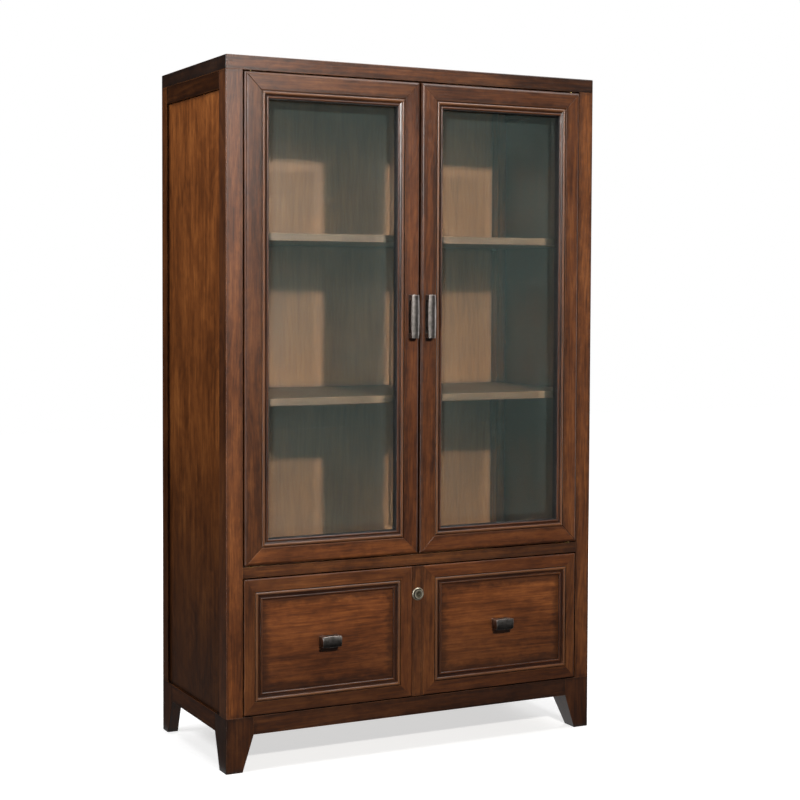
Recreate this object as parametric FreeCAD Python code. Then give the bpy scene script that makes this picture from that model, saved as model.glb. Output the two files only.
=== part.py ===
import FreeCAD, Part
import os

# A tall office bookcase: two glazed doors over one wide file drawer, on four tapered feet.
# Millimetres. X runs along the front, +Y to the back, +Z up. The origin is at the middle of the
# footprint, on the floor. Depths are counted from the case's front plane, positive to the back.

V = FreeCAD.Vector
OUT = "parts"

# ---- driving dimensions: the case ----
CASE_W = 1016.0
CASE_D = 459.0
CASE_H = 1694.0
TOP_T = 34.0
POST_W = 41.5            # posts, seen from the front
FRONT_POST_D = 45.0      # posts, seen from the side
REAR_POST_D = 40.0
BASE_Z = 132.0           # top of the feet and of the bottom rails
FOOT_RISE = 88.0         # underside of the bottom rails
FOOT_W = 70.0
FOOT_D = 76.0
REAR_FOOT_D = 70.0
FOOT_TOE_W = 42.0
FOOT_TOE_D = 45.0
REAR_FOOT_W = 28.0
REAR_TOE_D = 38.0
RAIL_T = 22.0
SIDE_RAIL_T = 20.0
SIDE_RAIL_H = 43.0
PANEL_SET_BACK = 6.0
PANEL_T = 8.0
BACK_T = 6.0
BACK_SET_BACK = 5.0
MID_RAIL_LOW = 464.0
MID_RAIL_TOP = 490.0
BOARD_T = 18.0
BASE_BOARD_T = 12.0
BASE_BOARD_Z = 96.0
SHELF_FRONT = 32.0
SHELF_REAR_GAP = 2.0
EDGE_ROUND = 3.0

# ---- driving dimensions: doors and drawer front ----
REVEAL = 3.0
DOOR_TOP_GAP = 3.5
DOOR_PROUD = 8.0
DOOR_T = 26.0
DOOR_ROUND = 8.0
DOOR_MEMBER_W = 42.0
GLASS_FRONT = 13.0
GLASS_T = 5.0
GLASS_LAP = 10.0
BEVEL_W = 22.0
BEVEL_DROP = 1.6
BEAD_W = 20.0
SEAL_T = 1.2
SEAL_FRONT = -3.0
DRAWER_PROUD = 2.0
DRAWER_LOW_GAP = 2.5
DRAWER_FRONT_T = 22.0
DRAWER_ROUND = 3.0
OUTER_STILE_W = 27.0
INNER_STILE_W = 32.0
DRAWER_RAIL_W = 31.0
CENTRE_STRIP_W = 30.0
DRAWER_PANEL_T = 10.0
DRAWER_PANEL_FRONT = 3.0
RIDGE = 4.0              # radius of the outer bead of the moulding

# ---- driving dimensions: hardware ----
PULL_PLATE_T = 2.0
PULL_BAR_T = 7.0
PULL_FOOT = 12.0
PULL_CROWN = 2.5         # rise of a pull's face across its width
PULL_GAP_R = 4.0         # rounding of the gap behind the grip
PULL_EASE = 1.0
DOOR_PULL_L = 107.0
DOOR_PULL_W = 21.8
DOOR_PULL_END_W = 18.6
DOOR_PULL_REACH = 22.0
DOOR_PULL_Z = 1082.0
DOOR_PULL_X = 23.2
DRAWER_PULL_L = 50.0
DRAWER_PULL_W = 28.0
DRAWER_PULL_END_W = 25.0
DRAWER_PULL_REACH = 25.0
DRAWER_PULL_Z = 296.0
SCREW_R = 1.9
SCREW_HOLE_R = 2.2
SCREW_HEAD_R = 4.5
SCREW_HEAD_T = 2.5
SCREW_BITE = 7.0
PIVOT_X = 64.0           # door pivots, from the case's side
PIVOT_DEPTH = 7.0
PIVOT_PIN_R = 2.8
RUN_FIT = 0.05
HINGE_LEAF_T = 3.0
HINGE_LEAF_W = 11.0
HINGE_LEAF_L = 50.0
HINGE_LEAF_START = 12.0  # leaf beyond the pivot, towards the case's side
PIVOT_SHOULDER_R = 5.0
PIN_END_GAP = 0.4
SHOULDER_GAP = 0.1
CATCH_X = 25.0           # door catches, from the middle of the case
CATCH_W = 50.0
CATCH_H = 16.0
CATCH_D = 20.0
CATCH_GAP = 0.4
SLIDE_Z = 250.0
SLIDE_L = 400.0
SLIDE_FRONT = 25.0
SLIDE_W = 12.5
LOCK_Z = 391.0
LOCK_COLLAR_R = 15.5
LOCK_NOSE_R = 11.5
LOCK_BARREL_R = 9.5
LOCK_PLUG_R = 7.6
LOCK_COLLAR_T = 2.5
LOCK_NOSE_OUT = 6.0
LOCK_PLUG_SUNK = 0.8
LOCK_TAIL = 2.0          # barrel behind the drawer box's front
KEYWAY_W = 1.8
KEYWAY_H = 9.0
KEYWAY_D = 12.0
CAM_GAP = 1.0
CAM_L = 79.0
CAM_W = 14.0
CAM_T = 3.0
CAM_HUB_R = 9.0
KEEPER_W = 60.0
KEEPER_H = 16.0
KEEPER_GAP = 0.6
SHELF_PIN_R = 2.5
SHELF_PIN_L = 18.0
SHELF_PIN_DEEP = 8.0
SHELF_PIN_INSET = 7.0    # from the inner edge of the post

# ---- driving dimensions: drawer box ----
BOX_T = 15.0
BOX_LOW = 142.0
BOX_TOP = 440.0
BOX_REAR = 425.0
BOX_FLOOR_Z = 150.0
BOX_FLOOR_T = 9.0
FILE_RAIL_T = 3.0
FILE_RAIL_H = 14.0
FILE_RAIL_DROP = 3.0
FILE_RAIL_FRONT = 70.0
FILE_RAIL_SPACING = 318.0

# ---- worked out ----
LEFT = -CASE_W / 2
REACH = DOOR_PROUD + DOOR_PULL_REACH
FRONT = -(CASE_D + REACH) / 2 + REACH
INNER_X = -LEFT - POST_W
CASE_TOP = CASE_H - TOP_T
SHELF_CLEAR = (CASE_TOP - MID_RAIL_TOP - 2 * BOARD_T) / 3
SHELF_LOWS = [
    MID_RAIL_TOP + SHELF_CLEAR,
    MID_RAIL_TOP + 2 * SHELF_CLEAR + BOARD_T,
]
BACK_FRONT = CASE_D - BACK_SET_BACK - BACK_T
DOOR_OUT = INNER_X - REVEAL
DOOR_IN = REVEAL / 2
DOOR_LOW = MID_RAIL_TOP + REVEAL
DOOR_TOP = CASE_TOP - DOOR_TOP_GAP
DRAWER_LOW = BASE_Z + DRAWER_LOW_GAP
DRAWER_TOP = MID_RAIL_LOW - REVEAL
DRAWER_BACK = DRAWER_FRONT_T - DRAWER_PROUD
BOX_FRONT_BACK = DRAWER_BACK + BOX_T
BOX_X = INNER_X - SLIDE_W
PANEL_X = -LEFT - PANEL_SET_BACK - PANEL_T


# ---- helpers ----
def box(x0, x1, d0, d1, z0, z1):
    """A block between two X values, two depths from the front plane and two heights."""
    return Part.makeBox(x1 - x0, d1 - d0, z1 - z0, V(x0, FRONT + d0, z0))


def drum(x, z, radius, d0, d1):
    """A round bar along Y between two depths."""
    return Part.makeCylinder(radius, d1 - d0, V(x, FRONT + d0, z), V(0, 1, 0))


def post(x, depth, radius, z0, z1):
    """A round bar along Z."""
    return Part.makeCylinder(radius, z1 - z0, V(x, FRONT + depth, z0), V(0, 0, 1))


def prism_front(points, d0, d1):
    """An outline of (x, z) points, drawn on the front and pushed from depth d0 to d1."""
    ring = [V(x, FRONT + d0, z) for x, z in points]
    return Part.Face(Part.makePolygon(ring + ring[:1])).extrude(V(0, d1 - d0, 0))


def prism_side(points, x0, x1):
    """An outline of (depth, z) points, drawn on the side and pushed from x0 to x1."""
    ring = [V(x0, FRONT + d, z) for d, z in points]
    return Part.Face(Part.makePolygon(ring + ring[:1])).extrude(V(x1 - x0, 0, 0))


def flip(shape):
    """The same piece for the other side of the case."""
    return shape.mirror(V(0, 0, 0), V(1, 0, 0))


def cut(shape, tools):
    for tool in tools:
        shape = shape.cut(tool)
    return shape


def edges_at(shape, test):
    """The straight edges whose two ends both pass the test."""
    return [e for e in shape.Edges if all(test(v.Point) for v in e.Vertexes)]


def solid_of(shape):
    """The one solid that a cut or a join leaves."""
    return shape.removeSplitter().Solids[0]


def save(node, *shapes):
    solids = [s for shape in shapes for s in shape.Solids]
    for number, solid in enumerate(solids):
        if not solid.isValid() or solid.Volume <= 0:
            raise ValueError("bad solid %d in %s" % (number, node))
    whole = solids[0] if len(solids) == 1 else Part.makeCompound(solids)
    whole.exportStep(os.path.join(OUT, node + ".step"))
    span = whole.BoundBox
    print("%-28s %2d solid  %7.1f %7.1f %7.1f mm" % (
        node, len(solids), span.XLength, span.YLength, span.ZLength))


# ---- case ----
def corner_post(depth0, depth1, outer_depth):
    """A left-hand post with its outer upright edge eased."""
    shape = box(LEFT, LEFT + POST_W, depth0, depth1, BASE_Z, CASE_TOP)
    rim = edges_at(shape, lambda p: abs(p.x - LEFT) < 0.1
                   and abs(p.y - FRONT - outer_depth) < 0.1)
    return shape.makeFillet(EDGE_ROUND, rim)


def foot(width, toe_w, depth0, depth1, toe_d, from_front):
    """A left-hand foot: square above, its inner faces tapering to a smaller toe."""
    x0 = LEFT
    front_view = prism_front([
        (x0, 0), (x0 + toe_w, 0), (x0 + width, FOOT_RISE),
        (x0 + width, BASE_Z), (x0, BASE_Z)], depth0, depth1)
    outer, inner = (depth0, depth1) if from_front else (depth1, depth0)
    toe = depth0 + toe_d if from_front else depth1 - toe_d
    side_view = prism_side([
        (outer, 0), (toe, 0), (inner, FOOT_RISE), (inner, BASE_Z), (outer, BASE_Z)],
        x0, x0 + width)
    shape = front_view.common(side_view)
    rim = edges_at(shape, lambda p: abs(p.x - LEFT) < 0.1
                   and abs(p.y - FRONT - outer) < 0.1)
    return solid_of(shape.makeFillet(EDGE_ROUND, rim))


def notched_board(z0, z1, front, rear, ends, post_gap):
    """A board that reaches the side panels between the posts and is notched round them."""
    inner = INNER_X - post_gap
    middle = box(-ends, ends, FRONT_POST_D + post_gap, CASE_D - REAR_POST_D - post_gap, z0, z1)
    return solid_of(middle.fuse(box(-inner, inner, front, rear, z0, z1)))


def pin_at(shelf_low, depth):
    """A left-hand shelf pin, half in its post, just under a shelf."""
    start = V(-INNER_X - SHELF_PIN_DEEP, FRONT + depth, shelf_low - SHELF_PIN_R)
    return Part.makeCylinder(SHELF_PIN_R, SHELF_PIN_L, start, V(1, 0, 0))


def hinge_leaf(z0):
    """A left-hand pivot hinge leaf, lying flat."""
    x0 = LEFT + PIVOT_X - HINGE_LEAF_START
    half = HINGE_LEAF_W / 2
    return box(x0, x0 + HINGE_LEAF_L, PIVOT_DEPTH - half, PIVOT_DEPTH + half,
               z0, z0 + HINGE_LEAF_T)


def make_case():
    pin_depths = [FRONT_POST_D - SHELF_PIN_INSET, CASE_D - REAR_POST_D + SHELF_PIN_INSET]
    pins = [pin_at(low, depth) for low in SHELF_LOWS for depth in pin_depths]
    front_post = cut(corner_post(0, FRONT_POST_D, 0), pins)
    rear_post = cut(corner_post(CASE_D - REAR_POST_D, CASE_D, CASE_D), pins)
    save("front_post_left", front_post)
    save("front_post_right", flip(front_post))
    save("rear_post_left", rear_post)
    save("rear_post_right", flip(rear_post))
    save("shelf_pins", *pins, *[flip(p) for p in pins])

    front_foot = foot(FOOT_W, FOOT_TOE_W, 0, FOOT_D, FOOT_TOE_D, True)
    rear_foot = foot(REAR_FOOT_W, REAR_FOOT_W, CASE_D - REAR_FOOT_D, CASE_D, REAR_TOE_D, False)
    save("front_feet", front_foot, flip(front_foot))
    save("rear_feet", rear_foot, flip(rear_foot))

    top_rail = box(LEFT, LEFT + SIDE_RAIL_T, FRONT_POST_D, CASE_D - REAR_POST_D,
                   CASE_TOP - SIDE_RAIL_H, CASE_TOP)
    low_rail = box(LEFT, LEFT + SIDE_RAIL_T, FOOT_D, CASE_D - REAR_FOOT_D, FOOT_RISE, BASE_Z)
    panel = box(-PANEL_X - PANEL_T, -PANEL_X, FRONT_POST_D, CASE_D - REAR_POST_D,
                BASE_Z, CASE_TOP - SIDE_RAIL_H)
    save("side_top_rails", top_rail, flip(top_rail))
    save("side_bottom_rails", low_rail, flip(low_rail))
    save("side_panel_left", panel)
    save("side_panel_right", flip(panel))

    top_leaf = hinge_leaf(CASE_TOP)
    low_leaf = hinge_leaf(MID_RAIL_TOP - HINGE_LEAF_T)
    leaves = [top_leaf, low_leaf]
    pin_top = DOOR_TOP - HINGE_LEAF_T + PIN_END_GAP
    upper = top_leaf.fuse(post(LEFT + PIVOT_X, PIVOT_DEPTH, PIVOT_PIN_R, pin_top, CASE_TOP))
    pin_low = DOOR_LOW + HINGE_LEAF_T - PIN_END_GAP
    lower = low_leaf.fuse(post(LEFT + PIVOT_X, PIVOT_DEPTH, PIVOT_PIN_R, MID_RAIL_TOP, pin_low))
    lower = lower.fuse(post(LEFT + PIVOT_X, PIVOT_DEPTH, PIVOT_SHOULDER_R,
                            MID_RAIL_TOP, DOOR_LOW - SHOULDER_GAP))
    case_leaves = [solid_of(upper), solid_of(lower)]
    save("case_hinge_leaves", *case_leaves, *[flip(s) for s in case_leaves])
    pockets = leaves + [flip(s) for s in leaves]

    slab = box(LEFT, -LEFT, 0, CASE_D, CASE_TOP, CASE_H)
    rim = edges_at(slab, lambda p: p.z > CASE_H - 0.1)
    rim += [e for e in slab.Edges if abs(e.Vertexes[0].Z - e.Vertexes[1].Z) > 1]
    save("top_slab", cut(slab.makeFillet(EDGE_ROUND, rim), pockets))

    mid = box(-INNER_X, INNER_X, 0, RAIL_T, MID_RAIL_LOW, MID_RAIL_TOP)
    save("mid_rail", cut(mid, pockets))
    foot_x = -LEFT - FOOT_W
    save("bottom_rail", box(-foot_x, foot_x, 0, RAIL_T, FOOT_RISE, BASE_Z))
    rear_x = -LEFT - REAR_FOOT_W
    save("rear_bottom_rail", box(-rear_x, rear_x, CASE_D - RAIL_T, CASE_D, FOOT_RISE, BASE_Z))
    catch_top = CASE_TOP
    catch_front = DOOR_T - DOOR_PROUD + CATCH_GAP
    catch = box(-CATCH_X - CATCH_W, -CATCH_X, catch_front, catch_front + CATCH_D,
                catch_top - CATCH_H, catch_top)
    catch = catch.makeFillet(2.0, edges_at(catch, lambda p: p.z < catch_top - CATCH_H + 0.1))
    save("door_catches", catch, flip(catch))
    save("back_panel", box(-INNER_X, INNER_X, BACK_FRONT, BACK_FRONT + BACK_T, BASE_Z, CASE_TOP))
    save("divider_panel", notched_board(MID_RAIL_TOP - BOARD_T, MID_RAIL_TOP,
                                        RAIL_T, BACK_FRONT, PANEL_X, 0))
    base_top = BASE_BOARD_Z + BASE_BOARD_T
    base = box(LEFT + SIDE_RAIL_T, -LEFT - SIDE_RAIL_T, FOOT_D, CASE_D - REAR_FOOT_D,
               BASE_BOARD_Z, base_top)
    base = base.fuse(box(-foot_x, foot_x, RAIL_T, FOOT_D, BASE_BOARD_Z, base_top))
    base = base.fuse(box(-rear_x, rear_x, CASE_D - REAR_FOOT_D, CASE_D - RAIL_T,
                         BASE_BOARD_Z, base_top))
    save("base_panel", solid_of(base))
    for node, low in zip(("shelf_lower", "shelf_upper"), SHELF_LOWS):
        save(node, notched_board(low, low + BOARD_T, SHELF_FRONT,
                                 BACK_FRONT - SHELF_REAR_GAP, PANEL_X - 1.5, 1.5))


# ---- framed fronts ----
def framed(x0, x1, z0, z1, widths, d0, d1, edge_round):
    """A rectangular frame in four mitred members, each with its outer front edge eased.

    widths: left stile, right stile, rails. Returns left, right, top, bottom and the opening."""
    left_w, right_w, rail_w = widths
    a0, a1, b0, b1 = x0 + left_w, x1 - right_w, z0 + rail_w, z1 - rail_w
    outlines = [
        ([(x0, z0), (a0, b0), (a0, b1), (x0, z1)], lambda p: abs(p.x - x0) < 0.1),
        ([(x1, z1), (a1, b1), (a1, b0), (x1, z0)], lambda p: abs(p.x - x1) < 0.1),
        ([(x0, z1), (a0, b1), (a1, b1), (x1, z1)], lambda p: abs(p.z - z1) < 0.1),
        ([(x1, z0), (a1, b0), (a0, b0), (x0, z0)], lambda p: abs(p.z - z0) < 0.1),
    ]
    members = []
    for outline, outer in outlines:
        blank = box(x0, x1, d0, d1, z0, z1)
        rim = edges_at(blank, lambda p: p.y < FRONT + d0 + 0.1 and outer(p))
        eased = blank.makeFillet(edge_round, rim)
        members.append(solid_of(eased.common(prism_front(outline, d0 - 1, d1 + 1))))
    return members, (a0, a1, b0, b1)


def bead_profile(height, width, lip):
    """The moulding's section as (across, up) points: groove, large bead, groove, small bead.

    lip is how far the outer part reaches behind the seat, round the edge of a glass."""
    small = RIDGE * 0.75
    valley = height - RIDGE
    seat = [(width, 0), (GLASS_LAP - 0.4, 0), (GLASS_LAP - 0.4, -lip), (0, -lip)]
    if lip == 0:
        seat = [(width, 0), (0, 0)]
    first = [(0, valley), (1.5, valley)]
    first_mid, first_end = (1.5 + RIDGE, height), (1.5 + 2 * RIDGE, valley)
    second = (width - 2 * small, valley - 1)
    second_mid, second_end = (width - small, valley - 1 + small), (width, valley - 1)
    return seat, first, (first_mid, first_end), second, (second_mid, second_end)


def bead_stick(start, across, along, length, height, width, lip):
    """One moulding stick from a start point: across points inwards, along is its run."""
    def at(point):
        return start + across * point[0] + V(0, -1, 0) * point[1]
    seat, first, arc1, second, arc2 = bead_profile(height, width, lip)
    flat = [at(p) for p in seat + first]
    edges = [Part.makeLine(p, q) for p, q in zip(flat, flat[1:])]
    edges.append(Part.Arc(flat[-1], at(arc1[0]), at(arc1[1])).toShape())
    edges.append(Part.makeLine(at(arc1[1]), at(second)))
    edges.append(Part.Arc(at(second), at(arc2[0]), at(arc2[1])).toShape())
    edges.append(Part.makeLine(at(arc2[1]), flat[0]))
    return Part.Face(Part.Wire(edges)).extrude(along * length)


def bead_ring(opening, seat_depth, height, width, lip=0):
    """Four mitred moulding sticks round the inside of an opening."""
    x0, x1, z0, z1 = opening
    reach = width + 1
    y = FRONT + seat_depth
    span_x, span_z = x1 - x0, z1 - z0
    sticks = [
        (V(x0, y, z0), V(1, 0, 0), V(0, 0, 1), span_z,
         [(x0, z0), (x0 + reach, z0 + reach), (x0 + reach, z1 - reach), (x0, z1)]),
        (V(x1, y, z0), V(-1, 0, 0), V(0, 0, 1), span_z,
         [(x1, z1), (x1 - reach, z1 - reach), (x1 - reach, z0 + reach), (x1, z0)]),
        (V(x0, y, z1), V(0, 0, -1), V(1, 0, 0), span_x,
         [(x0, z1), (x0 + reach, z1 - reach), (x1 - reach, z1 - reach), (x1, z1)]),
        (V(x0, y, z0), V(0, 0, 1), V(1, 0, 0), span_x,
         [(x1, z0), (x1 - reach, z0 + reach), (x0 + reach, z0 + reach), (x0, z0)]),
    ]
    ring = []
    for start, across, along, length, outline in sticks:
        stick = bead_stick(start, across, along, length, height, width, lip)
        wedge = prism_front(outline, seat_depth - height - 1, seat_depth + lip + 1)
        ring.append(solid_of(stick.common(wedge)))
    return ring


def inset(opening, by):
    x0, x1, z0, z1 = opening
    return (x0 + by, x1 - by, z0 + by, z1 - by)


def rect_wire(opening, depth):
    x0, x1, z0, z1 = opening
    y = FRONT + depth
    return Part.makePolygon([V(x0, y, z0), V(x1, y, z0), V(x1, y, z1), V(x0, y, z1), V(x0, y, z0)])


def bevelled_glass(outline):
    """A pane whose front face slopes down to thin edges all round."""
    x0, x1, z0, z1 = outline
    slope = GLASS_FRONT + BEVEL_DROP
    pane = box(x0, x1, slope, GLASS_FRONT + GLASS_T, z0, z1)
    crown = Part.makeLoft([rect_wire(outline, slope),
                           rect_wire(inset(outline, BEVEL_W), GLASS_FRONT)], True, True)
    return solid_of(pane.fuse(crown))


# ---- pulls ----
def pull_at(x, face, z, size, upright):
    """A cast pull: a thin plate, two feet and a grip crowned across and widest in the middle.

    size: length, width in the middle, width at the ends, reach."""
    length, width, end_w, reach = size
    half, mid_half, end_half = length / 2, width / 2, end_w / 2
    plate = Part.makeBox(length, PULL_PLATE_T, end_w, V(-half, -PULL_PLATE_T, -end_half))

    shoulder = PULL_CROWN - reach
    crown = Part.Arc(V(-half, shoulder, -mid_half), V(-half, -reach, 0),
                     V(-half, shoulder, mid_half))
    section = Part.Wire([
        crown.toShape(),
        Part.makeLine(V(-half, shoulder, mid_half), V(-half, -PULL_PLATE_T, mid_half)),
        Part.makeLine(V(-half, -PULL_PLATE_T, mid_half), V(-half, -PULL_PLATE_T, -mid_half)),
        Part.makeLine(V(-half, -PULL_PLATE_T, -mid_half), V(-half, shoulder, -mid_half))])
    bar = Part.Face(section).extrude(V(length, 0, 0))

    side = Part.Arc(V(-half, 0, end_half), V(0, 0, mid_half), V(half, 0, end_half))
    other = Part.Arc(V(half, 0, -end_half), V(0, 0, -mid_half), V(-half, 0, -end_half))
    barrel = Part.Wire([
        side.toShape(), Part.makeLine(V(half, 0, end_half), V(half, 0, -end_half)),
        other.toShape(), Part.makeLine(V(-half, 0, -end_half), V(-half, 0, end_half))])
    outline = Part.Face(barrel).extrude(V(0, -reach - 1, 0))
    grip = bar.common(outline)

    inner = PULL_BAR_T - reach
    gap = Part.makeBox(length - 2 * PULL_FOOT, -inner, width + 2,
                       V(PULL_FOOT - half, inner, -mid_half - 1))
    gap = gap.makeFillet(PULL_GAP_R, [e for e in gap.Edges
                                      if abs(e.CenterOfMass.y - inner) < 0.1
                                      and abs(e.CenterOfMass.z) < 0.1])
    grip = grip.cut(gap)
    rims = [e for e in grip.Edges if e.Length > length * 0.45
            and e.CenterOfMass.y < shoulder + 1 and abs(e.CenterOfMass.z) > 1]
    ends = [e for e in grip.Edges if abs(abs(e.CenterOfMass.x) - half) < 0.1
            and e.CenterOfMass.y < -PULL_PLATE_T - 0.5]
    grip = grip.makeFillet(PULL_EASE, rims + ends)
    shape = plate.fuse(grip)
    for side_x in (-1, 1):
        start = V(side_x * (half - PULL_FOOT / 2), 0, 0)
        shape = shape.cut(Part.makeCylinder(SCREW_R + 0.1, SCREW_BITE, start, V(0, -1, 0)))
    shape = solid_of(shape)
    if upright:
        shape.rotate(V(0, 0, 0), V(0, 1, 0), 90)
    shape.translate(V(x, FRONT + face, z))
    return shape


def pull_screws(x, face, z, length, upright, head_face):
    """The two screws that come from the inside, through the front, into the pull's feet."""
    offset = length / 2 - PULL_FOOT / 2
    centres = [(x, z - offset), (x, z + offset)] if upright else [(x - offset, z), (x + offset, z)]
    screws, holes = [], []
    for cx, cz in centres:
        shank = drum(cx, cz, SCREW_R, face - SCREW_BITE + 1, head_face)
        head = drum(cx, cz, SCREW_HEAD_R, head_face, head_face + SCREW_HEAD_T)
        head = head.makeFillet(1.0, [e for e in head.Edges
                                     if e.CenterOfMass.y > FRONT + head_face + 1
                                     and len(e.Vertexes) == 1 and e.Closed])
        slot = box(cx - 0.5, cx + 0.5, head_face + SCREW_HEAD_T - 1, head_face + SCREW_HEAD_T + 1,
                   cz - SCREW_HEAD_R, cz + SCREW_HEAD_R)
        screws.append(solid_of(shank.fuse(head).cut(slot)))
        holes.append(drum(cx, cz, SCREW_HOLE_R, face - 0.1, head_face + 0.1))
    return screws, holes


# ---- doors ----
def make_doors():
    widths = (DOOR_MEMBER_W, DOOR_MEMBER_W, DOOR_MEMBER_W)
    members, opening = framed(-DOOR_OUT, -DOOR_IN, DOOR_LOW, DOOR_TOP, widths,
                              -DOOR_PROUD, DOOR_T - DOOR_PROUD, DOOR_ROUND)
    leaves = [hinge_leaf(DOOR_TOP - HINGE_LEAF_T), hinge_leaf(DOOR_LOW)]
    eye = post(LEFT + PIVOT_X, PIVOT_DEPTH, PIVOT_PIN_R + RUN_FIT, DOOR_LOW - 1, DOOR_TOP + 1)
    screws, holes = pull_screws(-DOOR_PULL_X, -DOOR_PROUD, DOOR_PULL_Z, DOOR_PULL_L, True,
                                DOOR_T - DOOR_PROUD)
    hinge_stile, meeting_stile, top_rail, bottom_rail = members
    seal_opening = inset(opening, BEAD_W - SEAL_T)
    seal = box(seal_opening[0], seal_opening[1], SEAL_FRONT, GLASS_FRONT,
               seal_opening[2], seal_opening[3])
    clear = inset(opening, BEAD_W)
    pull_size = (DOOR_PULL_L, DOOR_PULL_W, DOOR_PULL_END_W, DOOR_PULL_REACH)
    seal = seal.cut(box(clear[0], clear[1], SEAL_FRONT - 1, GLASS_FRONT + 1, clear[2], clear[3]))
    pieces = {
        "hinge_stile": [cut(hinge_stile, leaves)],
        "meeting_stile": [cut(meeting_stile, holes)],
        "top_rail": [cut(top_rail, leaves)],
        "bottom_rail": [cut(bottom_rail, leaves)],
        "hinge_leaves": [leaf.cut(eye) for leaf in leaves],
        "bead": bead_ring(opening, GLASS_FRONT, GLASS_FRONT + DOOR_PROUD + 1,
                          BEAD_W - SEAL_T, GLASS_T),
        "seal": [seal],
        "glass": [bevelled_glass(inset(opening, GLASS_LAP))],
        "pull": [pull_at(-DOOR_PULL_X, -DOOR_PROUD, DOOR_PULL_Z, pull_size, True)],
        "pull_screws": screws,
    }
    for name, shapes in pieces.items():
        save("left_door_" + name, *shapes)
        save("right_door_" + name, *[flip(s) for s in shapes])


# ---- drawer ----
def channel(x_web, x_lips, half, wall):
    """A left-hand slide member: a C section whose web is at x_web and lips reach x_lips."""
    x0, x1 = min(x_web, x_lips), max(x_web, x_lips)
    block = box(x0, x1, SLIDE_FRONT, SLIDE_FRONT + SLIDE_L, SLIDE_Z - half, SLIDE_Z + half)
    inner0, inner1 = (x0 + wall, x1 + 1) if x_web < x_lips else (x0 - 1, x1 - wall)
    hollow = box(inner0, inner1, SLIDE_FRONT - 1, SLIDE_FRONT + SLIDE_L + 1,
                 SLIDE_Z - half + wall, SLIDE_Z + half - wall)
    return block.cut(hollow)


def make_slides():
    outer = channel(-INNER_X, -BOX_X - 0.5, 23.0, 1.5)
    middle = channel(-INNER_X + 2.5, -BOX_X - 1.5, 20.8, 1.2)
    inner = channel(-BOX_X, -INNER_X + 5.0, 18.8, 1.2)
    save("slide_outer_members", outer, flip(outer))
    save("slide_middle_members", middle, flip(middle))
    save("slide_inner_members", inner, flip(inner))


def make_drawer_front(holes):
    widths = (OUTER_STILE_W, INNER_STILE_W, DRAWER_RAIL_W)
    strip = CENTRE_STRIP_W / 2
    members, opening = framed(-DOOR_OUT, -strip, DRAWER_LOW, DRAWER_TOP, widths,
                              -DRAWER_PROUD, DRAWER_BACK, DRAWER_ROUND)
    ledge = DRAWER_PANEL_FRONT
    panel = box(opening[0], opening[1], ledge, ledge + DRAWER_PANEL_T, opening[2], opening[3])
    beads = bead_ring(opening, ledge, ledge + DRAWER_PROUD + 1.5, BEAD_W + 1)
    save("drawer_front_frame_left", *members)
    save("drawer_front_frame_right", *[flip(m) for m in members])
    save("drawer_front_panels", cut(panel, holes), cut(flip(panel), holes))
    save("drawer_front_beads", *beads, *[flip(b) for b in beads])
    centre = box(-strip, strip, -DRAWER_PROUD, DRAWER_BACK, DRAWER_LOW, DRAWER_TOP)
    centre = centre.cut(drum(0, LOCK_Z, LOCK_BARREL_R + 0.1, -DRAWER_PROUD - 1, DRAWER_BACK + 1))
    save("drawer_front_centre_strip", centre)
    return (opening[0] + opening[1]) / 2


def make_drawer_box(holes):
    front = box(-BOX_X, BOX_X, DRAWER_BACK, BOX_FRONT_BACK, BOX_LOW, BOX_TOP)
    front = cut(front, holes + [drum(0, LOCK_Z, LOCK_BARREL_R + 0.1,
                                     DRAWER_BACK - 1, BOX_FRONT_BACK + 1)])
    save("drawer_box_front", front)
    side = box(-BOX_X, -BOX_X + BOX_T, BOX_FRONT_BACK, BOX_REAR, BOX_LOW, BOX_TOP)
    save("drawer_box_sides", side, flip(side))
    inner = BOX_X - BOX_T
    save("drawer_box_back", box(-inner, inner, BOX_REAR - BOX_T, BOX_REAR, BOX_LOW, BOX_TOP))
    save("drawer_box_bottom", box(-inner, inner, BOX_FRONT_BACK, BOX_REAR - BOX_T,
                                  BOX_FLOOR_Z, BOX_FLOOR_Z + BOX_FLOOR_T))
    rails = []
    for start in (FILE_RAIL_FRONT, FILE_RAIL_FRONT + FILE_RAIL_SPACING):
        bar = box(-inner, inner, start, start + FILE_RAIL_T,
                  BOX_TOP - FILE_RAIL_DROP - FILE_RAIL_H, BOX_TOP - FILE_RAIL_DROP)
        rim = edges_at(bar, lambda p: p.z > BOX_TOP - FILE_RAIL_DROP - 0.1)
        rails.append(bar.makeFillet(1.0, [e for e in rim if e.Length > FILE_RAIL_T + 1]))
    save("file_rails", *rails)


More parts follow.
